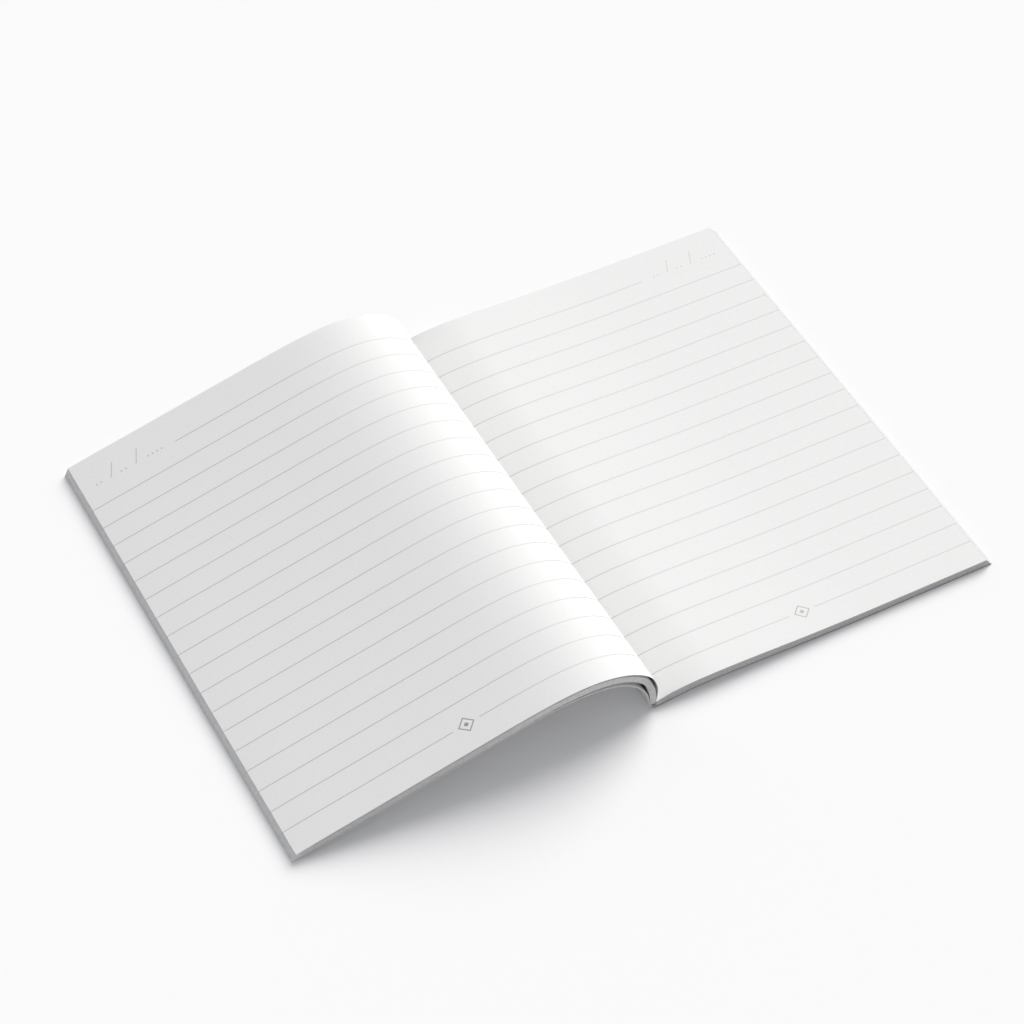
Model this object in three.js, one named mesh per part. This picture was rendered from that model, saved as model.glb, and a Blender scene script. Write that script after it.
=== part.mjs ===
// An A5 softcover ruled notebook, glued at the spine, lying open and face up.
// The right half lies nearly flat. The left half stands up from the gutter, bends over
// and runs down to the table, so there is a low arch under its cover.
// Millimetres, +X along the open spread, +Y from the tail to the head, +Z up.
// The origin is under the middle of the object's box, on the table.

import * as THREE from "three";

// Driving dimensions of the paper and the cover
const leafHeight = 210;
const leafThickness = 0.1;
const airBetweenLeaves = 0.035;
const leavesPerSide = 24;
const coverThickness = 0.6;
const coverClearance = 0.05;

// The reach of the pages and of the cover, from the foot of the spine
const rightLeafReach = 146.4;
const leftLeafReach = 145.7;
const rightCoverReach = 149.0;
const leftCoverReach = 147.6;
const lowestLeafSetback = 0.5;
const leftEdgeRise = 0.08;

// The spine strip leans over the left half while the notebook is open
const spineLeanDegrees = 19.6;
const spineFootHeight = 0.05;
const creaseGap = 0.12;

// The hot-melt glue on the inside of the spine
const glueThickness = 0.5;
const glueClearance = 0.06;
const glueEndSetback = 0.5;

// How far a leaf's flat root runs before it bends up in the gutter, first leaf and last
const rootRun = 1.05;
const lowestRootRun = 0.35;

// Where the crease between the hinge strip and the front cover lies, in spans of the arch
const creaseStation = 1.55;

// The crescent of air under the first leaf of the left half
const crescentDepth = 0.75;
const crescentMiddle = 2.6;
const crescentHalfLength = 3.4;

// The upper face of the left half: x from the gutter, height above the flat stack,
// and the air between the leaves and the cover beside each point.
const archStations = [
  { x: 0.33, rise: 4.8, coverAir: 1.2 },
  { x: 0.3, rise: 7.5, coverAir: 1.5 },
  { x: -0.65, rise: 10.9, coverAir: 1.9 },
  { x: -3.0, rise: 15.4, coverAir: 2.1 },
  { x: -7.2, rise: 19.3, coverAir: 1.85 },
  { x: -13.2, rise: 22.5, coverAir: 1.6 },
  { x: -20.2, rise: 24.5, coverAir: 1.35 },
  { x: -28.5, rise: 25.35, coverAir: 1.1 },
  { x: -38.7, rise: 24.7, coverAir: 0.7 },
  { x: -51.2, rise: 22.55, coverAir: 0.25 },
  { x: -71.2, rise: 17.95, coverAir: 0 },
  { x: -101.2, rise: 10.7, coverAir: 0 },
  { x: -135.2, rise: 2.6, coverAir: 0 },
];
const stepsInBend = 2;
const spansInBend = 8;

// How far the right half stands off the table: x from the spine's foot, and height
const rightLift = [
  { x: 0, lift: 0.05 },
  { x: 7, lift: 0.85 },
  { x: 16, lift: 1.75 },
  { x: 28, lift: 1.95 },
  { x: 45, lift: 1.5 },
  { x: 62, lift: 0.9 },
  { x: 80, lift: 0.35 },
  { x: 97, lift: 0 },
];
const rightSteps = 13;
const rightStepGrowth = 1.7;

// Colours and finish of the materials
const paperColor = 0xf4f4f3;
const coverColor = 0xd9d9d8;
const glueColor = 0xe6e0cf;
const paperRoughness = 0.92;
const coverRoughness = 0.7;
const glueRoughness = 0.45;

// Sizes that follow from the driving ones
const leafPitch = leafThickness + airBetweenLeaves;
const stackThickness = leavesPerSide * leafPitch;
const seatHeight = coverThickness + coverClearance;
const spineWidth = 2 * (stackThickness + seatHeight) + leafPitch;
const spineLean = THREE.MathUtils.degToRad(spineLeanDegrees);
const gutterHeight = seatHeight + stackThickness;

// Directions along and across the leaning spine strip, in the X-Z plane
const spineUp = new THREE.Vector2(-Math.sin(spineLean), Math.cos(spineLean));
const spineInward = new THREE.Vector2(Math.cos(spineLean), Math.sin(spineLean));
const spineFoot = new THREE.Vector2(0, spineFootHeight);

// The right leaves start behind a cover card and a glue strip that can both stand upright
const rightRootX = coverThickness + glueThickness + 2 * glueClearance;

function paperMaterial() {
  return new THREE.MeshStandardMaterial({ color: paperColor, roughness: paperRoughness, metalness: 0 });
}

function coverMaterial() {
  return new THREE.MeshStandardMaterial({ color: coverColor, roughness: coverRoughness, metalness: 0 });
}

function glueMaterial() {
  return new THREE.MeshStandardMaterial({ color: glueColor, roughness: glueRoughness, metalness: 0 });
}

// A point on the spine: so far up along its outer face, and so far in from that face
function onSpine(up, inward) {
  return spineFoot.clone().addScaledVector(spineUp, up).addScaledVector(spineInward, inward);
}

// A curve through the stations that also carries each station's extra value in its third number
function stationCurve(stations, toPoint) {
  return new THREE.CatmullRomCurve3(stations.map(toPoint));
}

const archCurve = stationCurve(
  archStations,
  (s) => new THREE.Vector3(s.x + rightRootX, s.rise + gutterHeight, s.coverAir),
);
const liftCurve = stationCurve(rightLift, (s) => new THREE.Vector3(s.x, s.lift, 0));

// The arch's upper face at a station number, with the direction into the stack of leaves
function archFrame(station) {
  const t = station / (archStations.length - 1);
  const at = archCurve.getPoint(t);
  const along = archCurve.getTangent(t);
  const inward = new THREE.Vector2(along.y, -along.x).multiplyScalar(-1).normalize();
  return { point: new THREE.Vector2(at.x, at.y), inward, coverAir: Math.max(0, at.z) };
}

// Station numbers along the arch, closer together where it bends
function archStationNumbers() {
  const numbers = [];
  for (let step = 0; step < spansInBend * stepsInBend; step += 1) {
    numbers.push(step / stepsInBend);
  }
  for (let station = spansInBend; station < archStations.length; station += 1) {
    numbers.push(station);
  }
  return numbers;
}

// Depth of the air under the first leaf at a station, zero away from the bend
function crescentAt(station) {
  const distance = Math.abs(station - crescentMiddle) / crescentHalfLength;
  return distance < 1 ? crescentDepth * Math.cos((distance * Math.PI) / 2) ** 2 : 0;
}

// How far below the arch's upper face a layer lies; a layer is a count of leaves from the top
function layerDepth(layer, station) {
  const depth = layer * leafPitch;
  const firstLeaf = leafThickness / leafPitch;
  if (layer <= firstLeaf) {
    return depth;
  }
  const shareLeft = (leavesPerSide - layer) / (leavesPerSide - 1);
  return depth + crescentAt(station) * shareLeft;
}

// One layer of the left half, from its root in the glue to its fore edge
function leftLayer(layer) {
  const share = layer / leavesPerSide;
  const root = onSpine(
    gutterHeight + leafPitch + layer * leafPitch,
    coverThickness + glueThickness + 2 * glueClearance,
  );
  const numbers = archStationNumbers();
  const run = THREE.MathUtils.lerp(rootRun, lowestRootRun, share);
  const bend = root.clone().addScaledVector(spineInward, run);
  const points = [root, bend];
  for (const number of numbers) {
    const frame = archFrame(number);
    points.push(frame.point.clone().addScaledVector(frame.inward, layerDepth(layer, number)));
  }
  const edgeX = THREE.MathUtils.lerp(-leftLeafReach, -(leftCoverReach - lowestLeafSetback), share);
  const edgeHeight = seatHeight + leftEdgeRise + stackThickness * (1 - share);
  points.push(new THREE.Vector2(edgeX, edgeHeight));
  return points;
}

// Height of the right half's underside over the table
function liftAt(x) {
  const lastX = rightLift[rightLift.length - 1].x;
  if (x >= lastX) {
    return 0;
  }
  let low = 0;
  let high = 1;
  while (high - low > 1e-7) {
    const middle = (low + high) / 2;
    if (liftCurve.getPoint(middle).x < x) {
      low = middle;
    } else {
      high = middle;
    }
  }
  return Math.max(0, liftCurve.getPoint(low).y);
}

// X positions across the right half, closer together near the gutter
function rightPositions(from, to) {
  const positions = [];
  for (let step = 0; step <= rightSteps; step += 1) {
    positions.push(THREE.MathUtils.lerp(from, to, (step / rightSteps) ** rightStepGrowth));
  }
  return positions;
}

// One layer of the right half, from its root at the glue to its fore edge
function rightLayer(layer) {
  const share = layer / leavesPerSide;
  const edgeX = THREE.MathUtils.lerp(rightLeafReach, rightCoverReach - lowestLeafSetback, share);
  return rightPositions(rightRootX, edgeX).map(
    (x) => new THREE.Vector2(x, seatHeight + stackThickness * (1 - share) + liftAt(x)),
  );
}

// A closed strip between two lines that run the same way, carried along Y.
// Its corners are counted line by line: upper and lower at the tail, then at the head.
function stripGeometry(upper, lower, endSetback) {
  const count = upper.length;
  const tail = endSetback - leafHeight / 2;
  const head = leafHeight / 2 - endSetback;
  const corners = [];
  for (const [line, y] of [[upper, tail], [lower, tail], [upper, head], [lower, head]]) {
    for (const point of line) {
      corners.push(point.x, y, point.y);
    }
  }
  const faces = [];
  const quad = (a, b, c, d) => faces.push(a, b, c, a, c, d);
  for (let i = 0; i + 1 < count; i += 1) {
    const upperTail = i;
    const lowerTail = i + count;
    const upperHead = i + 2 * count;
    const lowerHead = i + 3 * count;
    quad(upperTail, upperTail + 1, upperHead + 1, upperHead);
    quad(lowerTail, lowerHead, lowerHead + 1, lowerTail + 1);
    quad(upperTail, lowerTail, lowerTail + 1, upperTail + 1);
    quad(upperHead, upperHead + 1, lowerHead + 1, lowerHead);
  }
  quad(0, 2 * count, 3 * count, count);
  quad(count - 1, 2 * count - 1, 4 * count - 1, 3 * count - 1);
  const geometry = new THREE.BufferGeometry();
  geometry.setAttribute("position", new THREE.Float32BufferAttribute(corners, 3));
  geometry.setIndex(faces);
  geometry.computeVertexNormals();
  return geometry;
}

// A strip's lines run towards +X when its upper line is given first, and the other way round
function strip(name, upper, lower, material, endSetback = 0) {
  const runsRight = upper[upper.length - 1].x > upper[0].x;
  const geometry = runsRight
    ? stripGeometry(upper, lower, endSetback)
    : stripGeometry(lower, upper, endSetback);
  const mesh = new THREE.Mesh(geometry, material);
  mesh.name = name;
  return mesh;
}

function leafName(side, number) {
  return `leaf_${side}_${String(number + 1).padStart(2, "0")}`;
}

// A leaf fills its layer but for the air under it
function leaf(side, number, layerLine) {
  const upper = layerLine(number);
  const lower = layerLine(number + leafThickness / leafPitch);
  return strip(leafName(side, number), upper, lower, paperMaterial());
}

// The back cover lies under the right half, with its spine edge mitred for the fold
function backCover() {
  const outer = rightPositions(creaseGap, rightCoverReach).map((x) => new THREE.Vector2(x, liftAt(x)));
  const inner = rightPositions(creaseGap + coverThickness, rightCoverReach).map(
    (x) => new THREE.Vector2(x, liftAt(x) + coverThickness),
  );
  return strip("cover_back", inner, outer, coverMaterial());
}

// The spine strip: both long edges are mitred, so that it can fold square to its neighbours
function spineStrip() {
  const outer = [onSpine(creaseGap, 0), onSpine(spineWidth, 0)];
  const inner = [
    onSpine(creaseGap + coverThickness, coverThickness),
    onSpine(spineWidth - coverThickness, coverThickness),
  ];
  return strip("cover_spine", inner, outer, coverMaterial());
}

// The cover's outer face beside the arch at a station, and its inner face in from it
function coverPoint(station, inFromOuter) {
  const frame = archFrame(station);
  const depth = stackThickness + coverClearance + frame.coverAir + coverThickness - inFromOuter;
  return frame.point.clone().addScaledVector(frame.inward, depth);
}

// The hinge strip between the spine's upper crease and the crease of the front cover
function hingeStrip() {
  const foot = onSpine(spineWidth + creaseGap, 0);
  const head = coverPoint(creaseStation, 0);
  const along = head.clone().sub(foot).normalize();
  const inward = new THREE.Vector2(along.y, -along.x);
  const innerFoot = foot.clone().addScaledVector(along, coverThickness).addScaledVector(inward, coverThickness);
  const innerHead = head.clone().addScaledVector(inward, coverThickness);
  return strip("cover_hinge", [innerFoot, innerHead], [foot, head], coverMaterial());
}

// The front cover follows the arch from its crease down to the table
function frontCover() {
  const start = creaseStation + creaseGap / 2;
  const numbers = [start, ...archStationNumbers().filter((number) => number > start + 0.2)];
  const outer = numbers.map((number) => coverPoint(number, 0));
  const inner = numbers.map((number) => coverPoint(number, coverThickness));
  outer.push(new THREE.Vector2(-leftCoverReach, 0));
  inner.push(new THREE.Vector2(-leftCoverReach, coverThickness));
  return strip("cover_front", inner, outer, coverMaterial());
}

// Glue on the upper half of the spine strip, where the left leaves are rooted
function frontGlue() {
  const low = gutterHeight + leafPitch;
  const high = low + stackThickness;
  const near = coverThickness + glueClearance;
  const far = near + glueThickness;
  const inner = [onSpine(low, far), onSpine(high, far)];
  const outer = [onSpine(low, near), onSpine(high, near)];
  return strip("binding_glue_front", inner, outer, glueMaterial(), glueEndSetback);
}

// Glue that stands on the back cover's inner edge, where the right leaves are rooted
function backGlue() {
  const far = rightRootX - glueClearance;
  const near = far - glueThickness + glueClearance;
  const low = seatHeight + liftAt(far) + glueClearance;
  const high = gutterHeight;
  const top = [new THREE.Vector2(near, high), new THREE.Vector2(far, high)];
  const foot = [new THREE.Vector2(near, low), new THREE.Vector2(far, low)];
  return strip("binding_glue_back", top, foot, glueMaterial(), glueEndSetback);
}

const notebook = new THREE.Group();
notebook.add(backCover());
notebook.add(spineStrip());
notebook.add(hingeStrip());
notebook.add(frontCover());
notebook.add(backGlue());
notebook.add(frontGlue());
for (let number = 0; number < leavesPerSide; number += 1) {
  notebook.add(leaf("left", number, leftLayer));
  notebook.add(leaf("right", number, rightLayer));
}

// The box's middle goes over the origin
notebook.position.x = (leftCoverReach - rightCoverReach) / 2;
notebook.updateMatrixWorld(true);

export default notebook;
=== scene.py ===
# %% [markdown]
# # An open ruled notebook
# A softcover notebook lies open and face up. Its right half rests nearly flat on the table,
# and its left half stands up from the gutter, bends over and runs down to the table again.
# The whole object is one cross-section carried along the spine, so almost every piece here
# is a profile, worked out with numpy, that is swept from the tail of the pages to the head.

import bpy
import numpy as np
from mathutils import Matrix


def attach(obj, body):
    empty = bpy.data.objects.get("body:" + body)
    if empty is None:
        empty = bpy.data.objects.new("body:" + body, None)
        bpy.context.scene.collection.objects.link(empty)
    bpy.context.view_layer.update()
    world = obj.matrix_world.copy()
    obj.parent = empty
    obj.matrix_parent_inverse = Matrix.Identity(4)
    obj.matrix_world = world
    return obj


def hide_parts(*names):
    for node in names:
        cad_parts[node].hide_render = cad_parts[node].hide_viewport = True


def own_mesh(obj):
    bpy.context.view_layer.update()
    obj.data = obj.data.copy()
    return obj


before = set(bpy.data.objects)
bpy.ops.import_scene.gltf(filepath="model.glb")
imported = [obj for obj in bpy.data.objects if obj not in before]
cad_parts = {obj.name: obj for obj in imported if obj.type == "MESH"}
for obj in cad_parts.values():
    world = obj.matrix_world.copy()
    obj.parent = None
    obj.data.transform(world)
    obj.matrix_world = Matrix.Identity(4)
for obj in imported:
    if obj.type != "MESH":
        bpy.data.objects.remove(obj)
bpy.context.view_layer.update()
print("CAD nodes:", len(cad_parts))

# %% [markdown]
# ## Sizes
# Everything is worked out in millimetres from the foot of the spine, and turned into metres
# only when a mesh is made, which also moves it sideways to the middle of the open spread.
# The page is A5, 210 mm tall. A leaf of writing paper is 0.1 mm thick, and a little air
# between the leaves makes the stack thicker than its paper. Layers are counted from the top
# of a stack in steps of one leaf with its air. Edges and the root are places across the
# spread, and the hinge is the height about which the left half turns.

# %% Sizes in millimetres
PAGE_HEIGHT = 210.0
LEAVES = 24
LEAF_THICKNESS = 0.1
LEAF_PITCH = 0.135
THICKNESS = LEAF_THICKNESS / LEAF_PITCH
STACK = LEAVES * LEAF_PITCH
CARD = 0.6
CLEARANCE = 0.05
SEAT = CARD + CLEARANCE
ROOT = 1.22
RIGHT_EDGE = 146.4
LEFT_EDGE = -145.7
RIGHT_COVER = 149.0
LEFT_COVER = -147.6
COVER_MARGIN = 0.5
SHIFT_X = -0.7
HINGE_Z = 4.05

# %% [markdown]
# ## The camera
# The photograph looks down at 48 degrees from the tail end, a little from the left, through
# a long lens. The camera is made first, from the direction it looks in and the direction of
# its right side.


# %% Directions and places
def unit(vector):
    """The same direction at length 1."""
    return np.asarray(vector) / np.linalg.norm(vector)


def placed(right, backward, place):
    """Matrix of a camera or lamp, which looks along its own -Z. Its columns are the right side,
    the upper side (backward crossed with right), the back, and the place in metres."""
    turned = np.eye(4)
    turned[:3, 0] = right
    turned[:3, 1] = np.cross(backward, right)
    turned[:3, 2] = backward
    turned[:3, 3] = place
    return Matrix(turned.tolist())


print("direction of (3, 4):", unit([3, 4]))

# %% Make the camera
camera_data = bpy.data.cameras.new("camera")
camera_data.sensor_width = 36.0
camera_data.lens = 110.31
camera_data.clip_start = 0.05
camera_data.clip_end = 20.0
camera = bpy.data.objects.new("camera", camera_data)
bpy.context.scene.collection.objects.link(camera)
bpy.context.scene.camera = camera

camera_place = np.array([-378.1, -713.9, 914.9])
target = np.array([-1.5, 5.3, 0.0])
forward = unit(target - camera_place)
right = np.array([0.8838, -0.4679, -0.004])
right = unit(right - forward * (right @ forward))
camera.matrix_world = placed(right, -forward, camera_place / 1000)
print("camera looks along", np.round(forward, 3))

# %% [markdown]
# ## Smooth lines through measured points
# A sheet of paper bends as evenly as it can. A natural cubic spline does the same: it goes
# through every point given, and its bend changes without a jump, so light runs over the
# surface with no visible bands.


# %% A smooth line through points
def smooth_line(points, places):
    """Natural cubic spline: between two points each coordinate is a cubic, slope and bend match
    where two cubics meet, and the line is straight at both ends. places counts in points."""
    p = np.asarray(points, float)
    h = np.linalg.norm(np.diff(p, axis=0), axis=1)
    inner = np.arange(1, len(p) - 1)
    system = np.eye(len(p))
    system[inner, inner - 1] = h[:-1]
    system[inner, inner] = 2 * (h[:-1] + h[1:])
    system[inner, inner + 1] = h[1:]
    load = np.zeros_like(p)
    slopes = np.diff(p, axis=0) / h[:, None]
    load[inner] = 6 * np.diff(slopes, axis=0)
    bend = np.linalg.solve(system, load)
    i = np.clip(np.floor(places).astype(int), 0, len(p) - 2)
    step = h[i][:, None]
    s = (np.asarray(places) - i)[:, None] * step
    r = step - s
    return (
        bend[i] * r**3 / (6 * step)
        + bend[i + 1] * s**3 / (6 * step)
        + (p[i] / step - bend[i] * step / 6) * r
        + (p[i + 1] / step - bend[i + 1] * step / 6) * s
    )


def even_places(points, per_point):
    """Places at equal steps along a line of points, with its first and last point."""
    return np.arange((len(points) - 1) * per_point + 1) / per_point


quarter = np.linspace(0, np.pi / 2, 7)
arc = np.stack([np.cos(quarter), np.sin(quarter)], axis=1)
arc_radius = np.linalg.norm(smooth_line(arc, even_places(arc, 10)), axis=1)
print("a quarter circle drawn through 7 points strays by", round(np.ptp(arc_radius), 4))


# %% Directions and lengths along a line
def into_stack(points):
    """Unit directions at right angles to a line of points, turned to its left."""
    along_line = np.gradient(points, axis=0)
    along_line /= np.linalg.norm(along_line, axis=1)[:, None]
    return np.stack([-along_line[:, 1], along_line[:, 0]], axis=1)


def to_the_end(line):
    """Distance of each point of a line from the line's last point, measured along it."""
    steps = np.linalg.norm(np.diff(line, axis=0), axis=1)
    return np.concatenate([np.cumsum(steps[::-1])[::-1], [0.0]])


print("the quarter circle is", round(to_the_end(arc)[0], 3), "radii long, in straight steps")

# %% [markdown]
# ## The profile of the arched half
# These points follow the upper face of the first left-hand page, read off the photograph
# along the tail edge: up out of the gutter, over the crest at 29 mm and down to the fore
# edge. Every other leaf, and the cover, lies a known depth under this line.

# %% The arched half's upper line
ARCH = np.array(
    [
        (1.12, 5.0),
        (1.4, 6.8),
        (1.56, 8.7),
        (1.55, 10.55),
        (1.28, 12.4),
        (0.74, 14.3),
        (0.0, 16.35),
        (-1.75, 19.33),
        (-4.35, 21.87),
        (-8.4, 24.7),
        (-12.8, 26.7),
        (-19.0, 28.4),
        (-27.3, 29.24),
        (-35.5, 28.82),
        (-43.6, 27.68),
        (-55.8, 25.2),
        (-72.0, 21.38),
        (-88.1, 17.5),
        (-104.2, 13.65),
        (-120.2, 9.8),
        (-134.2, 6.5),
    ]
)
FINE = 20
ARCH_INWARD = into_stack(smooth_line(ARCH, even_places(ARCH, FINE)))[::FINE]
print("crest of the arch, mm:", ARCH[:, 1].max())

# %% [markdown]
# ## The air under the first leaf
# The first leaf has let go of the stack below it, and the photograph shows a dark crescent
# under it where the stack bends most. The leaves below take up part of that air between
# them, and past the bend, where the arch is straight, they take up all of it. Places on
# the arch are counted in the points of its line.

# %% The crescent of air
CRESCENT_MIDDLE = 5.5
CRESCENT_REACH = 6.0
CRESCENT_DEPTH = 0.72
FIRST_LEAF_GAP = 0.46
GAP_OPENS_OVER = 2
TAKEN_UP = 0.4
LAST_OF_BEND = 16


def crescent(station):
    """Depth of the air under the first leaf: a squared cosine round the bend, on top of a gap
    that stays the same all along the arch and closes at both ends."""
    away = np.clip(np.abs(station - CRESCENT_MIDDLE) / CRESCENT_REACH, 0, 1)
    ends = np.clip(np.minimum(station / GAP_OPENS_OVER, len(ARCH) - station), 0, 1)
    return CRESCENT_DEPTH * np.cos(away * np.pi / 2) ** 2 + FIRST_LEAF_GAP * ends


print("widest air under the first leaf, mm:", round(crescent(np.arange(len(ARCH))).max(), 2))

# %% [markdown]
# ## One layer of the arched half
# The roots are held in glue, so the stack is pressed thin there and stands against the
# spine. The low points lead from the root to the arch, for the first leaf and for the last
# one, and the bend points are where the last leaf passes the first points of the arch. All
# leaves between share out the room. At the fore edge the pages slide over each other, which
# leaves a slanting edge. The line is drawn in close steps as far as it bends.

# %% The points of a layer
LOW_FIRST = np.array([(0.66, 3.05), (0.88, 4.1)])
LOW_LAST = np.array([(-1.42, 2.9), (-1.58, 4.2)])
BEND_LAST = np.array([(-1.68, 5.4), (-1.78, 7.0), (-1.92, 8.6), (-2.26, 10.4)])
PRESSED = len(BEND_LAST)
FORE_EDGE_TOP = 3.62
FORE_EDGE_HEIGHT = 2.9


def left_controls(layer):
    """Points of one layer of the left half: its root and its way up beside the spine, the arch
    less the layer's depth, and its place on the slanting fore edge. The stack is pressed thin
    at the root and has its full thickness from the fifth point of the arch on."""
    share = layer / LEAVES
    station = np.arange(len(ARCH))
    depth = np.full(len(ARCH), layer * LEAF_PITCH)
    below_first_leaf = layer > THICKNESS
    if below_first_leaf:
        left_over = np.where(station > LAST_OF_BEND, 1 - share, 1 - TAKEN_UP * share)
        depth += crescent(station) * left_over
    arch = ARCH + ARCH_INWARD * depth[:, None]
    pressed = ARCH[:PRESSED] + share * (BEND_LAST - ARCH[:PRESSED])
    if below_first_leaf:
        opened = crescent(station[:PRESSED]) * (1 - share)
        pressed += ARCH_INWARD[:PRESSED] * opened[:, None]
    arch[:PRESSED] = pressed
    low = LOW_FIRST + share * (LOW_LAST - LOW_FIRST)
    edge_x = LEFT_EDGE + share * (LEFT_COVER + COVER_MARGIN - LEFT_EDGE)
    edge = (edge_x, FORE_EDGE_TOP - share * FORE_EDGE_HEIGHT)
    return np.vstack([low, arch, edge])


CLOSE_UNTIL = 17
CLOSE_STEPS = np.arange(0, CLOSE_UNTIL, 0.25)
WIDE_STEPS = np.arange(CLOSE_UNTIL, len(left_controls(0)) - 0.5, 0.5)
LEFT_PLACES = np.concatenate([CLOSE_STEPS, WIDE_STEPS])
first_line = smooth_line(left_controls(0), LEFT_PLACES)
print("first left page along its curve, mm:", round(to_the_end(first_line)[0], 1))

# %% [markdown]
# ## The profile of the flat half
# The right half starts at the glue, swells by about 2 mm beside the gutter, where the stack
# still pulls at the spine, and is flat from the middle of the page to the fore edge. The
# cover card below it is lifted by the same swell, so the stack keeps its thickness.

# %% The flat half's two lines
RIGHT_TOP = np.array(
    [
        (ROOT, 3.3),
        (2.65, 3.85),
        (4.2, 4.25),
        (7.0, 4.92),
        (10.5, 5.38),
        (15.3, 5.75),
        (28.0, 5.94),
        (45.0, 5.38),
        (62.0, 4.6),
        (80.0, 4.02),
        (97.0, 3.84),
        (121.0, 3.8),
        (RIGHT_EDGE, 3.8),
    ]
)
RIGHT_LIFT = np.array([0.1, 0.25, 0.45, 0.8, 1.2, 1.65, 1.95, 1.4, 0.75, 0.25, 0.0, 0.0, 0.0])
LAST_LEAF_AIR = 0.02
RIGHT_PLACES = even_places(RIGHT_TOP, 5)


def right_controls(layer):
    """Points of one layer of the right half, between its upper line and the cover card."""
    share = layer / LEAVES
    x = RIGHT_TOP[:, 0].copy()
    x += (x - ROOT) / (RIGHT_EDGE - ROOT) * share * (RIGHT_COVER - COVER_MARGIN - RIGHT_EDGE)
    z = RIGHT_TOP[:, 1] * (1 - share) + (RIGHT_LIFT + SEAT + LAST_LEAF_AIR) * share
    return np.stack([x, z], axis=1)


first_line = smooth_line(right_controls(0), RIGHT_PLACES)
print("first right page along its curve, mm:", round(to_the_end(first_line)[0], 1))

# %% [markdown]
# ## A sheet with thickness
# A leaf is a closed body, however thin: light that comes from behind must meet a second
# face, and the cut edges of the whole stack are what the eye reads as paper. The sweep makes
# the two broad faces, the two cut edges along the spine and the fore edge, and the two ends.


# %% The faces of a swept sheet
def sheet_faces(count):
    """Four-cornered faces between a ring of 2 * count points at the tail and one at the head:
    a skin from each point to the next one, and strips that close the two ends."""
    ring = np.arange(2 * count)
    after = np.roll(ring, -1)
    skin = np.stack([ring, after, 2 * count + after, 2 * count + ring], axis=-1)
    upper = np.arange(count - 1)
    lower = 2 * count - 1 - upper
    tail = np.stack([upper, lower, lower - 1, upper + 1], axis=-1)
    return np.vstack([skin, tail, tail[:, ::-1] + 2 * count])


def cut_faces(count):
    """True for the faces that a knife has cut: one skin face at each end of the two lines, and
    both end strips."""
    skin = np.isin(np.arange(2 * count), [count - 1, 2 * count - 1])
    return np.concatenate([skin, np.ones(2 * (count - 1), bool)])


print("faces of a leaf:", len(sheet_faces(len(LEFT_PLACES))), len(sheet_faces(len(RIGHT_PLACES))))


# %% The page map
def add_page_map(mesh, distance, page):
    """Writes the page map for each face corner: signed distance from the fore edge, and height
    from the tail, both divided by the page height. The sign is that of the page on the face,
    and a face is an under side when more than two of its corners are on the lower line."""
    count = len(distance)
    vertex = np.zeros(len(mesh.loops), int)
    mesh.loops.foreach_get("vertex_index", vertex)
    place = np.zeros(len(mesh.vertices) * 3)
    mesh.vertices.foreach_get("co", place)
    height = place.reshape(-1, 3)[vertex, 1] * 1000 + PAGE_HEIGHT / 2
    ring = vertex % (2 * count)
    across = np.concatenate([distance, distance[::-1]])[ring]
    is_under = (ring.reshape(-1, 4) >= count).sum(axis=1) > 2
    sign = np.repeat(np.where(is_under, -page, page), 4)
    layer = mesh.uv_layers.new(name="page")
    layer.data.foreach_set("uv", np.stack([across * sign, height], -1).ravel() / PAGE_HEIGHT)


print("the page map counts in lengths of, mm:", PAGE_HEIGHT)

# %% Sweep a profile from tail to head
SHARP_ANGLE = np.radians(40)


def sweep(name, upper, lower, materials, setback=0.0, distance=None, page=0.0):
    """Carries a closed profile along Y, from the tail to the head less a setback at each end.
    upper and lower are lines of the same count in the X-Z plane. The broad faces get the
    first material, and the four cut edges the last one. distance gives each point's distance
    from the fore edge, for the page map, and page its sign: plus on a left-hand page and
    minus on a right-hand one."""
    profile = np.vstack([upper, lower[::-1]])
    points = np.zeros((2, len(profile), 3))
    points[..., 0] = profile[:, 0] + SHIFT_X
    points[0, :, 1] = setback - PAGE_HEIGHT / 2
    points[1, :, 1] = PAGE_HEIGHT / 2 - setback
    points[..., 2] = profile[:, 1]
    faces = sheet_faces(len(upper))
    x, z = profile.T
    turns_left = np.sum(x * np.roll(z, -1) - np.roll(x, -1) * z) > 0
    if turns_left:
        faces = faces[:, ::-1]
    mesh = bpy.data.meshes.new(name)
    mesh.from_pydata((points.reshape(-1, 3) / 1000).tolist(), [], faces.tolist())
    if distance is not None:
        add_page_map(mesh, distance, page)
    for material in materials:
        mesh.materials.append(material)
    slots = cut_faces(len(upper)) * (len(materials) - 1)
    mesh.polygons.foreach_set("material_index", slots)
    mesh.set_sharp_from_angle(angle=SHARP_ANGLE)
    mesh.shade_smooth()
    mesh.update()
    piece = bpy.data.objects.new(name, mesh)
    bpy.context.scene.collection.objects.link(piece)
    return piece


print("a fold sharper than", round(float(np.degrees(SHARP_ANGLE))), "degrees stays an edge")

# %% [markdown]
# ## Colours and nodes
# Colours are chosen as the hex values that a screen shows, and the shader needs them as
# linear light, so one function turns them. A second small function adds a node with its
# settings and links. A pattern's scale is worked out from the real size of its grain.


# %% Colour and node helpers
def linear(hex_colour):
    """sRGB hex to linear light: a straight part near black, and a power of 2.4 above it."""
    s = np.array([int(hex_colour[i : i + 2], 16) for i in (1, 3, 5)]) / 255
    value = np.where(s <= 0.04045, s / 12.92, ((s + 0.055) / 1.055) ** 2.4)
    return (*value.tolist(), 1.0)


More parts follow.
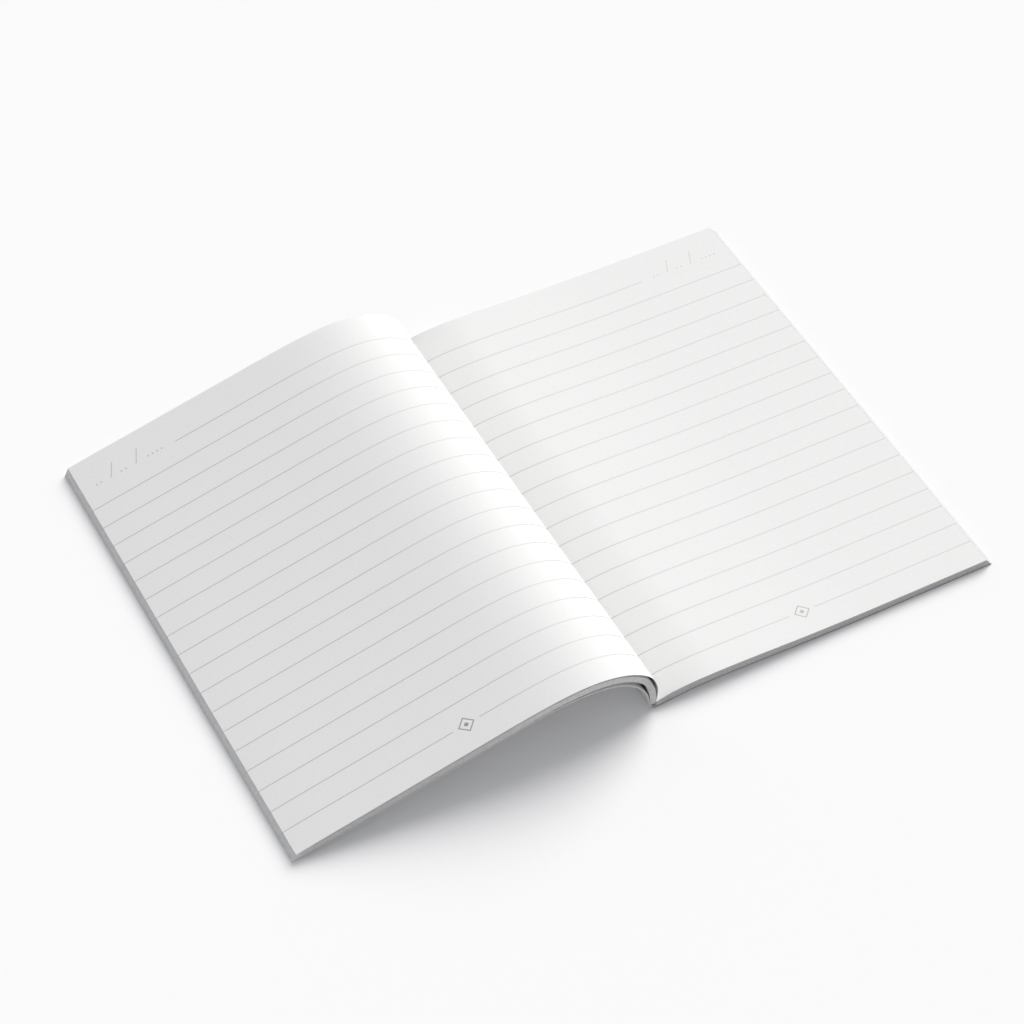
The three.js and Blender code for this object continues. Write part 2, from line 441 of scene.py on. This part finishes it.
def add(tree, kind, inputs=None, stops=(), **settings):
    """Adds a node with its properties and the (place, colour) stops of its ramp. An input is
    linked to a socket or to a node's first output, and otherwise set to the value given."""
    node = tree.nodes.new(kind)
    for key, value in settings.items():
        setattr(node, key, value)
    if stops:
        elements = node.color_ramp.elements
        while len(elements) < len(stops):
            elements.new(0.5)
        for element, (place, colour) in zip(elements, stops):
            element.position = place
            element.color = colour
    for key, value in (inputs or {}).items():
        if isinstance(value, bpy.types.Node):
            value = value.outputs[0]
        if isinstance(value, bpy.types.NodeSocket):
            tree.links.new(value, node.inputs[key])
        else:
            node.inputs[key].default_value = value
    return node


def per_metre(grain_mm):
    """How many grains of a size in millimetres fit in a metre, which is a noise's scale."""
    return 1000 / grain_mm


MATH = "ShaderNodeMath"
MIX = "ShaderNodeMix"
WHITE = linear("#FFFFFF")
print("grey #EFEFEF in linear light:", round(linear("#EFEFEF")[0], 3))


# %% A material and its surface
def new_material(name, **surface):
    """A node material with its Principled shader. surface gives constants of the shader, with
    an underscore for each space in a socket's name."""
    material = bpy.data.materials.new(name)
    material.use_nodes = True
    tree = material.node_tree
    shader = tree.nodes["Principled BSDF"]
    for socket, value in surface.items():
        shader.inputs[socket.replace("_", " ")].default_value = value
    return material, tree, shader


def give_surface(tree, shader, colour, grain, strength, depth_mm):
    """Links the colour, and a bump that follows the grain and is depth_mm deep at most."""
    tree.links.new(colour, shader.inputs["Base Color"])
    relief = {"Height": grain, "Strength": strength, "Distance": depth_mm / 1000}
    bump = add(tree, "ShaderNodeBump", relief)
    tree.links.new(bump.outputs[0], shader.inputs["Normal"])


def line_mask(tree, distance, half_width, soft):
    """1 within half_width of a line, falling smoothly to 0 over the distance soft, in mm."""
    inputs = {"Value": distance, 1: half_width, 2: half_width + soft, 3: 1.0, 4: 0.0}
    return add(tree, "ShaderNodeMapRange", inputs, interpolation_type="SMOOTHSTEP")


HALF_SPREAD = 150.0


def tone_along(tree, value, stops):
    """A grey that follows a place across the open spread, in mm, from one half's fore edge to
    the other's. stops are (place, grey), and the grey is straight between them."""
    inputs = {"Value": value, 1: -HALF_SPREAD, 2: HALF_SPREAD, 3: 0.0, 4: 1.0}
    place = add(tree, "ShaderNodeMapRange", inputs)
    greys = [((at + HALF_SPREAD) / (2 * HALF_SPREAD), (grey, grey, grey, 1.0)) for at, grey in stops]
    return add(tree, "ShaderNodeValToRGB", {0: place}, stops=greys)


print("tones run across, mm:", 2 * HALF_SPREAD)

# %% [markdown]
# ## The print on a page
# The rules are a pale grey offset print, 10.2 mm apart, that bleeds off the fore edge. The
# top outer corner has a date field, made of small dots and two slashes, and the highest rule
# stops short of it. The lowest rule has a gap with a plain lozenge in it. The page map gives
# the print its place, so it is on both faces of every leaf and stays there when one turns.

# %% Where the print lies on a page, in millimetres
FIRST_RULE = 11.06
RULE_PITCH = 10.208
FULL_RULES = 18
RULE_HALF_WIDTH = 0.16
RULE_BLUR = 0.14
DATE_WIDTH = 41.5
MARK_PLACE = 76.0
MARK_GAP = 5.5
print("highest rule, mm from the tail:", round(FIRST_RULE + FULL_RULES * RULE_PITCH, 1))


# %% The rules as a mask
def rules_mask(tree, u, v):
    """Rules at equal steps up the page. Rule number is height over the pitch, and the distance
    from a rule is how far that number is from a whole one, times the pitch. A rule is kept if
    it is above the tail, isn't in the date field, and isn't in the lowest rule's gap."""
    up = add(tree, MATH, {0: v, 1: FIRST_RULE}, operation="SUBTRACT")
    number = add(tree, MATH, {0: up, 1: RULE_PITCH}, operation="DIVIDE")
    whole = add(tree, MATH, {0: number}, operation="ROUND")
    part = add(tree, MATH, {0: number, 1: whole}, operation="SUBTRACT")
    size = add(tree, MATH, {0: part}, operation="ABSOLUTE")
    off = add(tree, MATH, {0: size, 1: RULE_PITCH}, operation="MULTIPLY")
    line = line_mask(tree, off, RULE_HALF_WIDTH, RULE_BLUR)
    above_tail = add(tree, MATH, {0: whole, 1: -0.5}, operation="GREATER_THAN")
    is_full = add(tree, MATH, {0: whole, 1: FULL_RULES - 0.5}, operation="LESS_THAN")
    on_page = add(tree, MATH, {0: whole, 1: FULL_RULES + 0.5}, operation="LESS_THAN")
    beside_date = add(tree, MATH, {0: u, 1: DATE_WIDTH}, operation="GREATER_THAN")
    highest = add(tree, MATH, {0: on_page, 1: beside_date}, operation="MULTIPLY")
    kept = add(tree, MATH, {0: is_full, 1: highest}, operation="MAXIMUM")
    is_lowest = add(tree, MATH, {0: whole, 1: 0.5}, operation="LESS_THAN")
    aside = add(tree, MATH, {0: u, 1: MARK_PLACE}, operation="SUBTRACT")
    from_mark = add(tree, MATH, {0: aside}, operation="ABSOLUTE")
    by_mark = add(tree, MATH, {0: from_mark, 1: MARK_GAP}, operation="LESS_THAN")
    gap = add(tree, MATH, {0: is_lowest, 1: by_mark}, operation="MULTIPLY")
    not_gap = add(tree, MATH, {0: 1.0, 1: gap}, operation="SUBTRACT")
    kept = add(tree, MATH, {0: kept, 1: not_gap}, operation="MULTIPLY")
    kept = add(tree, MATH, {0: kept, 1: above_tail}, operation="MULTIPLY")
    return add(tree, MATH, {0: line, 1: kept}, operation="MULTIPLY")


print("rules on a page:", FULL_RULES + 1)

# %% The lozenge as a mask
MARK_RING = 3.1
MARK_RING_HALF_WIDTH = 0.22
MARK_RING_BLUR = 0.2
MARK_HEART = 0.9
MARK_HEART_BLUR = 0.3


def mark_mask(tree, u, v):
    """A plain lozenge in the gap of the lowest rule: the distance is across plus up, as on a
    grid of squares, so lines of equal distance are lozenges."""
    aside = add(tree, MATH, {0: u, 1: MARK_PLACE}, operation="SUBTRACT")
    across = add(tree, MATH, {0: aside}, operation="ABSOLUTE")
    above = add(tree, MATH, {0: v, 1: FIRST_RULE}, operation="SUBTRACT")
    height = add(tree, MATH, {0: above}, operation="ABSOLUTE")
    reach = add(tree, MATH, {0: across, 1: height}, operation="ADD")
    from_ring = add(tree, MATH, {0: reach, 1: MARK_RING}, operation="SUBTRACT")
    ring = add(tree, MATH, {0: from_ring}, operation="ABSOLUTE")
    outline = line_mask(tree, ring, MARK_RING_HALF_WIDTH, MARK_RING_BLUR)
    heart = line_mask(tree, reach, MARK_HEART, MARK_HEART_BLUR)
    return add(tree, MATH, {0: outline, 1: heart}, operation="MAXIMUM")


print("lozenge from point to point, mm:", round(2 * (MARK_RING + MARK_RING_HALF_WIDTH), 2))

# %% The date field as a mask
DATE_DOTS = [0.0, 2.0, 10.9, 13.0, 23.0, 25.0, 27.0, 29.0]
DATE_SLASHES = [7.8, 18.9]
DATE_FROM_LEFT_EDGE = 6.5
DATE_FROM_RIGHT_EDGE = 35.5
DOT_HEIGHT = 195.2
DOT_RADIUS = 0.3
DOT_BLUR = 0.22
SLASH_HEIGHT = 198.2
SLASH_HALF_HEIGHT = 3.3
SLASH_END_BLUR = 0.2
SLASH_LEAN = 0.44
SLASH_HALF_WIDTH = 0.14
SLASH_BLUR = 0.18


def dots_mask(tree, place, v):
    """Small dots for the figures of a date, each a round mask of the distance from its middle."""
    above = add(tree, MATH, {0: v, 1: DOT_HEIGHT}, operation="SUBTRACT")
    mask = 0.0
    for dot in DATE_DOTS:
        aside = add(tree, MATH, {0: place, 1: dot}, operation="SUBTRACT")
        vector = add(tree, "ShaderNodeCombineXYZ", {0: aside, 1: above})
        length = add(tree, "ShaderNodeVectorMath", {0: vector}, operation="LENGTH")
        spot = line_mask(tree, length.outputs["Value"], DOT_RADIUS, DOT_BLUR)
        mask = add(tree, MATH, {0: spot, 1: mask}, operation="MAXIMUM")
    return mask


def slashes_mask(tree, place, v):
    """Two leaning strokes: the distance across from a line that moves aside as it goes up."""
    middle = add(tree, MATH, {0: v, 1: SLASH_HEIGHT}, operation="SUBTRACT")
    from_middle = add(tree, MATH, {0: middle}, operation="ABSOLUTE")
    within = line_mask(tree, from_middle, SLASH_HALF_HEIGHT, SLASH_END_BLUR)
    lean = add(tree, MATH, {0: middle, 1: SLASH_LEAN}, operation="MULTIPLY")
    mask = 0.0
    for slash in DATE_SLASHES:
        foot = add(tree, MATH, {0: place, 1: slash}, operation="SUBTRACT")
        aside = add(tree, MATH, {0: foot, 1: lean}, operation="SUBTRACT")
        off = add(tree, MATH, {0: aside}, operation="ABSOLUTE")
        stroke = line_mask(tree, off, SLASH_HALF_WIDTH, SLASH_BLUR)
        stroke = add(tree, MATH, {0: stroke, 1: within}, operation="MULTIPLY")
        mask = add(tree, MATH, {0: stroke, 1: mask}, operation="MAXIMUM")
    return mask


def date_mask(tree, signed, v):
    """Dots and slashes, read from left to right on either page. The place is counted from the
    first dot, which is near the fore edge on a left page and further in on a right one."""
    is_left = add(tree, MATH, {0: signed, 1: 0.0}, operation="GREATER_THAN")
    moved = {0: is_left, 1: -DATE_FROM_LEFT_EDGE - DATE_FROM_RIGHT_EDGE}
    back = add(tree, MATH, moved, operation="MULTIPLY")
    start = add(tree, MATH, {0: back, 1: DATE_FROM_RIGHT_EDGE}, operation="ADD")
    place = add(tree, MATH, {0: signed, 1: start}, operation="ADD")
    both = {0: dots_mask(tree, place, v), 1: slashes_mask(tree, place, v)}
    return add(tree, MATH, both, operation="MAXIMUM")


print("dots:", len(DATE_DOTS), " slashes:", len(DATE_SLASHES))

# %% [markdown]
# ## Ruled writing paper
# Uncoated wood-free paper, calendered smooth: nearly white, matt, with fibres too fine to
# see one by one but enough to keep the white from looking like plastic. Real fibres are
# finer than a picture of the whole spread can show, so they are drawn about 0.8 mm wide.

# %% How strong the print is, with a painted highlight over the crest of the bend
PRINT_STRENGTH_AND_PAINTED_HIGHLIGHT = [
    (-146, 0.5),
    (-122, 0.36),
    (-95, 0.3),
    (-0.2, 0.3),
    (0.2, 0.52),
    (80, 0.52),
    # painted highlight: the print is made lighter over the crest of the bend
    (104, 0.4),
    (118, 0.34),
    (126, 0.29),
    (134, 0.3),
    (140, 0.47),
    (146, 0.68),
    (150, 0.92),
]
MARK_STRENGTH = [(-0.2, 0.6), (0.2, 1.0)]
# painted shade: right-hand pages are painted darker towards the gutter
GUTTER_PAINTED_SHADE = [(-147, 0.82), (-138, 0.88), (-118, 1.0)]


def ink_amount(tree, signed, v):
    """The print as one mask: rules and date, less or more inked along the page, or the lozenge
    where that is darker. The print is lighter on right-hand pages than on left-hand ones and
    heavier beside the gutter on both, and over the crest of the bend it is lightest, a
    painted highlight where the bend catches the light."""
    u = add(tree, MATH, {0: signed}, operation="ABSOLUTE")
    lines = {0: rules_mask(tree, u, v), 1: date_mask(tree, signed, v)}
    ink = add(tree, MATH, lines, operation="MAXIMUM")
    # print strength along the page, with a painted highlight over the crest of the bend
    inked = {0: ink, 1: tone_along(tree, signed, PRINT_STRENGTH_AND_PAINTED_HIGHLIGHT)}
    ink = add(tree, MATH, inked, operation="MULTIPLY")
    marked = {0: mark_mask(tree, u, v), 1: tone_along(tree, signed, MARK_STRENGTH)}
    mark = add(tree, MATH, marked, operation="MULTIPLY")
    return add(tree, MATH, {0: ink, 1: mark}, operation="MAXIMUM")


print("stops of the print's strength:", len(PRINT_STRENGTH_AND_PAINTED_HIGHLIGHT))

# %% The paper itself
PAPER_FIBRE = 0.8333
PAPER_DARK, PAPER_LIGHT = linear("#EFEFEF"), linear("#F3F3F2")
PRINT_GREY = linear("#A0A0A0")


def ruled_paper():
    """Uncoated paper, pale grey print. Fibre shows as a 1% mottle and a faint bump, which makes
    the page look soft and matt. A right-hand page has painted shade where it goes down into
    the glue."""
    surface = {"Roughness": 0.9, "IOR": 1.47, "Specular_IOR_Level": 0.25}
    material, tree, shader = new_material("uncoated_writing_paper", **surface)
    page = add(tree, "ShaderNodeUVMap", uv_map="page")
    scaled = add(tree, "ShaderNodeVectorMath", {0: page, 3: PAGE_HEIGHT}, operation="SCALE")
    parts = add(tree, "ShaderNodeSeparateXYZ", {0: scaled})
    signed, v = parts.outputs[0], parts.outputs[1]
    ink = ink_amount(tree, signed, v)
    place = add(tree, "ShaderNodeTexCoord").outputs["Object"]
    grain = {"Vector": place, "Scale": per_metre(PAPER_FIBRE), "Detail": 3.0, "Roughness": 0.6}
    fibre = add(tree, "ShaderNodeTexNoise", grain)
    stops = [(0.3, PAPER_DARK), (0.7, PAPER_LIGHT)]
    tone = add(tree, "ShaderNodeValToRGB", {0: fibre}, stops=stops)
    printed = add(tree, MIX, {0: ink, 6: tone, 7: PRINT_GREY}, data_type="RGBA").outputs[2]
    # painted shade beside the gutter on right-hand pages, multiplied into the paper's colour
    painted_gutter_shade = {0: 1.0, 6: printed, 7: tone_along(tree, signed, GUTTER_PAINTED_SHADE)}
    paper = add(tree, MIX, painted_gutter_shade, data_type="RGBA", blend_type="MULTIPLY").outputs[2]
    give_surface(tree, shader, paper, fibre.outputs[0], strength=0.06, depth_mm=0.05)
    return material


PAPER = ruled_paper()
print("paper nodes:", len(PAPER.node_tree.nodes))

# %% [markdown]
# ## Cut edges
# A guillotine leaves the edges of paper and board rough and a little open. They are painted
# greyer than a face, as shade between the sheets, and the painted shade changes along the
# notebook: the flat half's edge is painted the darkest, and the fore edge of the arched half the
# lightest.

# %% The edges of paper
EDGE_GRAIN = 1.538
# painted shade on the paper's cut edges, along X: darkest on the flat half, lightest at the arched
# half's fore edge
PAPER_EDGE_PAINTED_SHADE = [
    (-148, 1.0),
    (-143, 0.77),
    (-70, 0.78),
    (-45, 0.88),
    (0, 0.88),
    (4, 0.62),
    (148, 0.6),
]
# painted shade on the second left leaf's cut edge, for the gap above it
SHADED_EDGE_GREY = [(-148, 0.6), (-60, 0.45), (0, 0.3)]


def cut_edge(name, colour, greys):
    """The guillotined edge of a sheet: rough, with a grain at 1.5 mm that goes down to 0.1 mm,
    and painted greyer than the face, as shade for the light lost between the sheets. greys
    give that painted shade along X, in mm."""
    surface = {"Roughness": 0.95, "Specular_IOR_Level": 0.15}
    material, tree, shader = new_material(name, **surface)
    place = add(tree, "ShaderNodeTexCoord").outputs["Object"]
    x = add(tree, "ShaderNodeSeparateXYZ", {0: place})
    x_mm = add(tree, MATH, {0: x, 1: 1000.0}, operation="MULTIPLY")
    noise = {"Vector": place, "Scale": per_metre(EDGE_GRAIN), "Detail": 4.0, "Roughness": 0.75}
    grain = add(tree, "ShaderNodeTexNoise", noise)
    speck = add(tree, "ShaderNodeMapRange", {"Value": grain, 1: 0.3, 2: 0.7, 3: 0.88, 4: 1.1})
    # painted shade along X, broken up by the grain's speckle
    shaded = {0: tone_along(tree, x_mm, greys), 1: speck}
    shade = add(tree, MATH, shaded, operation="MULTIPLY")
    mixed = {0: 1.0, 6: linear(colour), 7: shade}
    edge = add(tree, MIX, mixed, data_type="RGBA", blend_type="MULTIPLY").outputs[2]
    give_surface(tree, shader, edge, grain.outputs[0], strength=0.4, depth_mm=0.1)
    return material


PAPER_EDGE = cut_edge("guillotined_paper_edge", "#F8F7F5", PAPER_EDGE_PAINTED_SHADE)
SHADED_EDGE = cut_edge("guillotined_paper_edge_painted_gap_shade", "#EDEDEC", SHADED_EDGE_GREY)
print("paper edges:", PAPER_EDGE.name, SHADED_EDGE.name)

# %% [markdown]
# ## Cover card
# The cover is uncoated solid board, 0.6 mm thick and a shade greyer than the paper. Its
# fibres are coarser, so its mottle is larger and the bump stronger.

# %% The card
BOARD_FIBRE = 2.0
BOARD_DARK, BOARD_LIGHT = linear("#E6E6E5"), linear("#EEEEED")
# painted shade on the board's cut edges, along X: dark on the flat half, lightest at the arched
# half's fore edge
CARD_EDGE_PAINTED_SHADE = [
    (-148, 1.0),
    (-144, 0.67),
    (-60, 0.71),
    (-3, 0.71),
    (2, 0.34),
    (148, 0.34),
]


def cover_card():
    """Uncoated board: matt, off-white, with a fibrous mottle at 2 mm that goes down to 0.1 mm,
    so it looks felted and a little softer than the paper."""
    surface = {"Roughness": 0.75, "IOR": 1.5, "Specular_IOR_Level": 0.35}
    material, tree, shader = new_material("uncoated_cover_board", **surface)
    place = add(tree, "ShaderNodeTexCoord").outputs["Object"]
    grain = {"Vector": place, "Scale": per_metre(BOARD_FIBRE), "Detail": 5.0, "Roughness": 0.65}
    fibre = add(tree, "ShaderNodeTexNoise", grain)
    stops = [(0.3, BOARD_DARK), (0.7, BOARD_LIGHT)]
    tone = add(tree, "ShaderNodeValToRGB", {0: fibre}, stops=stops)
    give_surface(tree, shader, tone.outputs[0], fibre.outputs[0], strength=0.15, depth_mm=0.1)
    return material


CARD_BOARD = cover_card()
CARD_EDGE = cut_edge("guillotined_board_edge", "#F2F1EE", CARD_EDGE_PAINTED_SHADE)
print("board finishes:", CARD_BOARD.name, CARD_EDGE.name)

# %% [markdown]
# ## Binding glue
# A perfect-bound book has no thread: the leaves' roots are milled rough and set in hot-melt
# adhesive, which cools to a milky, slightly shiny and slightly uneven strip.

# %% The glue's finish
GLUE_WAVE = 3.03
GLUE_DARK, GLUE_LIGHT = linear("#CFCCC4"), linear("#E2E0D9")


def hot_melt_glue():
    """Ethylene-vinyl acetate: milky cream and half gloss, uneven at about 3 mm, so that its
    shine breaks up as it does on a bead that was wiped on hot."""
    material, tree, shader = new_material("hot_melt_adhesive", Roughness=0.4, IOR=1.48)
    place = add(tree, "ShaderNodeTexCoord").outputs["Object"]
    unevenness = {"Vector": place, "Scale": per_metre(GLUE_WAVE), "Detail": 2.0}
    wave = add(tree, "ShaderNodeTexNoise", unevenness)
    stops = [(0.0, GLUE_DARK), (1.0, GLUE_LIGHT)]
    tone = add(tree, "ShaderNodeValToRGB", {0: wave}, stops=stops)
    give_surface(tree, shader, tone.outputs[0], wave.outputs[0], strength=0.5, depth_mm=0.3)
    return material


GLUE = hot_melt_glue()
print("glue nodes:", len(GLUE.node_tree.nodes))

# %% [markdown]
# ## The leaves of the arched half
# Each leaf is made from two layers of the stack, a leaf's thickness apart. When the notebook
# closes, a real leaf of the arched half flattens as it comes down.


# %% One leaf
def leaf(side, number, controls, places, page, thickness):
    """One leaf: the line of its layer above, and a leaf's thickness further in below. The
    second leaf of the arched half has painted shade on its edge, for the gap above it."""
    upper = smooth_line(controls(number), places)
    lower = smooth_line(controls(number + thickness), places)
    name = f"ruled_leaf_{side}_{number + 1:02d}"
    edge = SHADED_EDGE if side == "left" and number == 1 else PAPER_EDGE
    piece = sweep(name, upper, lower, [PAPER, edge], distance=to_the_end(upper), page=page)
    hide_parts(f"leaf_{side}_{number + 1:02d}")
    return piece


def flatten_when_closed(piece):
    """Gives a piece a mesh of its own."""
    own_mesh(piece)


def before_turning(level):
    """The height that comes to a level when the left half has turned over about its hinge."""
    return 2 * HINGE_Z - level


print("the hinge's own height stays, mm:", before_turning(HINGE_Z))

# %% Make the left leaves
LEFT_PAGE, RIGHT_PAGE = 1.0, -1.0
for number in range(LEAVES):
    piece = leaf("left", number, left_controls, LEFT_PLACES, LEFT_PAGE, THICKNESS)
    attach(piece, "left_half")
    flatten_when_closed(piece)

# %% [markdown]
# ## The leaves of the flat half
# These are made in the same way and lie still while the left half closes on them, except
# that its weight takes the swell out of them. They can also be lifted and fanned. The glue
# holds each by a root that is pressed thin, and that leaves the room they need to fan apart.

# %% Make the right leaves
ROOT_THINNING = (0.45, 0.8)
RIGHT_THICKNESS = np.full(len(RIGHT_TOP), THICKNESS)
RIGHT_THICKNESS[: len(ROOT_THINNING)] *= ROOT_THINNING
for number in range(LEAVES):
    piece = leaf("right", number, right_controls, RIGHT_PLACES, RIGHT_PAGE, RIGHT_THICKNESS)
    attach(piece, f"page_right_{number + 1:02d}")
    flatten_when_closed(piece)
print("right leaves made:", LEAVES, " root, mm:", round(ROOT_THINNING[0] * LEAF_THICKNESS, 3))

# %% [markdown]
# ## The front cover
# One card is scored into four panels: the back cover, the spine, a narrow hinge strip and
# the front cover. The card bends at its scores, and between them each panel is a smooth
# curve. The front cover hangs a little under the leaves round the bend, as the air between
# them shows in the photograph.

# %% A panel of card
CREASE = np.array([-5.55, 14.75])
SPINE_TOP = np.array([-2.18, 7.35])


def card_pair(inner):
    """A panel's two lines: the inner one, and the outer one a card's thickness outside it."""
    return inner, inner + into_stack(inner) * CARD


def panel(name, inner, outer, node, body):
    """One panel of the cover, with a guillotined edge, in the place of its CAD node."""
    piece = sweep(name, inner, outer, [CARD_BOARD, CARD_EDGE])
    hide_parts(node)
    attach(piece, body)
    return piece


print("hinge strip from score to score, mm:", round(np.linalg.norm(CREASE - SPINE_TOP), 2))

# %% The front cover
COVER_AIR_X = np.array([-134.0, -70.0, -50.0, -37.5, -27.3, -19.0, -12.0, -6.0])
COVER_AIR = np.array([0.0, 0.0, 0.25, 0.7, 1.0, 1.15, 1.35, 1.6])
COVER_BEGINS = 9
CRESCENT_IN_COVER = 0.6
LOWEST_POINT = CARD + 0.2
ROUND_CREASE = [CREASE + (-0.1, 0.13), (-7.05, 16.75), (-8.75, 18.35)]
EDGE_SLANT = 0.35


def cover_line():
    """The front cover's inner line, from the crease: the arch less the stack and the air."""
    crest = ARCH[COVER_BEGINS:]
    air = np.interp(crest[:, 0], COVER_AIR_X, COVER_AIR)
    air += CRESCENT_IN_COVER * crescent(np.arange(COVER_BEGINS, len(ARCH)))
    depth = STACK + CLEARANCE + air
    points = crest + ARCH_INWARD[COVER_BEGINS:] * depth[:, None]
    points = points[points[:, 1] > LOWEST_POINT]
    line = np.vstack([ROUND_CREASE, points, [LEFT_COVER, CARD]])
    return smooth_line(line, even_places(line, 4))


inner, outer = card_pair(cover_line())
outer[:, 1] = np.maximum(outer[:, 1], 0)
inner[-1, 0] += EDGE_SLANT
front = panel("front_cover_board", inner, outer, "cover_front", "left_half")
flatten_when_closed(front)
print("front cover along its curve, mm:", round(to_the_end(inner)[0], 1))

# %% [markdown]
# ## The spine and the hinge strip
# While the notebook is open the spine bows outwards a little and the hinge strip inwards,
# because the stack beside them leans over. When it closes they straighten.

# %% The hinge strip
HINGE_INNER = np.array([SPINE_TOP, (-2.45, 8.6), (-3.1, 10.6), (-4.15, 12.75), CREASE])
inner, outer = card_pair(smooth_line(HINGE_INNER, even_places(HINGE_INNER, 5)))
hinge = panel("hinge_strip_board", inner, outer, "cover_hinge", "hinge_strip")
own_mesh(hinge)
print("hinge strip along its curve, mm:", round(to_the_end(inner)[0], 1))

# %% The spine
SPINE_INNER = np.array([(0.62, 0.66), (-0.35, 1.2), (-1.28, 2.6), (-1.72, 4.6), SPINE_TOP])
OUTER_FOOT = (0.14, 0.03)
inner, outer = card_pair(smooth_line(SPINE_INNER, even_places(SPINE_INNER, 5)))
outer[0] = OUTER_FOOT
spine = panel("spine_board", inner, outer, "cover_spine", "spine")
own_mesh(spine)
print("spine along its curve, mm:", round(to_the_end(inner)[0], 1))

# %% [markdown]
# ## The back cover
# The card under the flat half lies on the table, except beside the spine, where it is
# lifted with the leaves. Closing the notebook presses it down.

# %% The back cover
BACK_STARTS = 0.2
BACK_FOOT = 0.03
SCORE_CUT = 0.48


def back_cover():
    """The card under the flat half, lifted by the same swell as the leaves above it. At the
    score its inner side starts further in than its outer side, which leaves room to fold."""
    x = RIGHT_TOP[:, 0].copy()
    x[0], x[-1] = BACK_STARTS, RIGHT_COVER
    lift = RIGHT_LIFT.copy()
    lift[0] = BACK_FOOT
    outer = smooth_line(np.stack([x, lift], 1), RIGHT_PLACES)
    x[0] += SCORE_CUT
    inner = smooth_line(np.stack([x, lift + CARD], 1), RIGHT_PLACES)
    outer[:, 1] = np.maximum(outer[:, 1], 0)
    return inner, outer


back = panel("back_cover_board", *back_cover(), "cover_back", "back_cover")
flatten_when_closed(back)
print("back cover's swell, mm:", RIGHT_LIFT.max())

# %% [markdown]
# ## The two strips of glue
# The binding splits at the opening, so one strip holds the left roots to the spine and the
# other holds the right roots to the back cover. Each stops short of the page at both ends,
# so that none squeezes out there.

# %% The glue strips
GLUE_SETBACK = 0.5
LEFT_GLUE = [(-1.25, 2.72), (-0.6, 2.8), (0.36, 2.89)], [(-1.0, 2.3), (-0.4, 2.0), (0.34, 2.1)]
RIGHT_GLUE = [(0.74, 1.0), (0.72, 2.85)], [(1.12, 1.0), (1.12, 2.9)]


def glue_strip(name, upper, lower, node, body):
    """A strip of adhesive between two lines, in the place of its CAD node."""
    piece = sweep(name, np.array(upper), np.array(lower), [GLUE], setback=GLUE_SETBACK)
    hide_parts(node)
    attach(piece, body)
    return piece


front_glue = glue_strip("glue_at_left_roots", *LEFT_GLUE, "binding_glue_front", "spine")
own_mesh(front_glue)
glue_strip("glue_at_right_roots", *RIGHT_GLUE, "binding_glue_back", "back_cover")
print("glue strips, mm long:", PAGE_HEIGHT - 2 * GLUE_SETBACK)

# %% [markdown]
# ## The table
# The photograph was made on a white sweep. The floor is a white matt board that keeps the
# object's shadow. A camera ray sees it a little brighter than its paint, so that it meets
# the white world behind it with no horizon.

# %% The floor
FLOOR_GLOW = 0.08
FLOOR_REACH = 3.0
FLOOR_DROP = 2e-5


def white_board():
    """Matt white board: diffuse paint, and a little of its own light for camera rays only."""
    surface = {"Roughness": 0.95, "Specular_IOR_Level": 0.1}
    material, tree, shader = new_material("matt_white_board", **surface)
    shader.inputs["Base Color"].default_value = linear("#F4F4F5")
    shader.inputs["Emission Color"].default_value = WHITE
    path = add(tree, "ShaderNodeLightPath")
    seen = path.outputs["Is Camera Ray"]
    glow = add(tree, MATH, {0: seen, 1: FLOOR_GLOW}, operation="MULTIPLY")
    tree.links.new(glow.outputs[0], shader.inputs["Emission Strength"])
    return material


floor_mesh = bpy.data.meshes.new("floor")
corners = [
    (side * FLOOR_REACH, end * FLOOR_REACH, -FLOOR_DROP)
    for side, end in [(-1, -1), (1, -1), (1, 1), (-1, 1)]
]
floor_mesh.from_pydata(corners, [], [(0, 1, 2, 3)])
floor_mesh.materials.append(white_board())
floor = bpy.data.objects.new("floor", floor_mesh)
bpy.context.scene.collection.objects.link(floor)
print("floor, m:", 2 * FLOOR_REACH)

# %% [markdown]
# ## The light
# One large soft light stands behind and to the right, and much light comes from all round.
# The key light is a sun whose wide angle gives the soft rim of the shadow. The world gives
# the rest at a lower strength, a little blue in the shade, while a ray from the camera or
# from a glossy surface meets plain white.

# %% The world
ROOM_LIGHT = 0.401
world = bpy.data.worlds.new("white_room")
world.use_nodes = True
bpy.context.scene.world = world
room = world.node_tree
background = room.nodes["Background"]
path = add(room, "ShaderNodeLightPath")
rays = {0: path.outputs["Is Camera Ray"], 1: path.outputs["Is Glossy Ray"]}
seen = add(room, MATH, rays, operation="MAXIMUM")
above_room = add(room, MATH, {0: seen, 1: 1 - ROOM_LIGHT}, operation="MULTIPLY")
strength = add(room, MATH, {0: above_room, 1: ROOM_LIGHT}, operation="ADD")
sky = add(room, MIX, {0: seen, 6: linear("#F8FAFF"), 7: WHITE}, data_type="RGBA")
room.links.new(sky.outputs[2], background.inputs["Color"])
room.links.new(strength.outputs[0], background.inputs["Strength"])
print("light of the room, against white:", ROOM_LIGHT)

# %% The key light
KEY_DISTANCE = 2
key_data = bpy.data.lights.new("key", "SUN")
key_data.energy = 3.03
key_data.angle = np.radians(41)
key_data.color = linear("#FFFDFA")[:3]
key = bpy.data.objects.new("key", key_data)
bpy.context.scene.collection.objects.link(key)
toward_light = unit([1.03, 0.64, 0.95])
side = unit(np.cross([0.0, 0.0, 1.0], toward_light))
key.matrix_world = placed(side, toward_light, toward_light * KEY_DISTANCE)
bpy.context.scene.view_settings.view_transform = "Standard"
print("height of the light, degrees:", round(float(np.degrees(np.arcsin(toward_light[2])))))
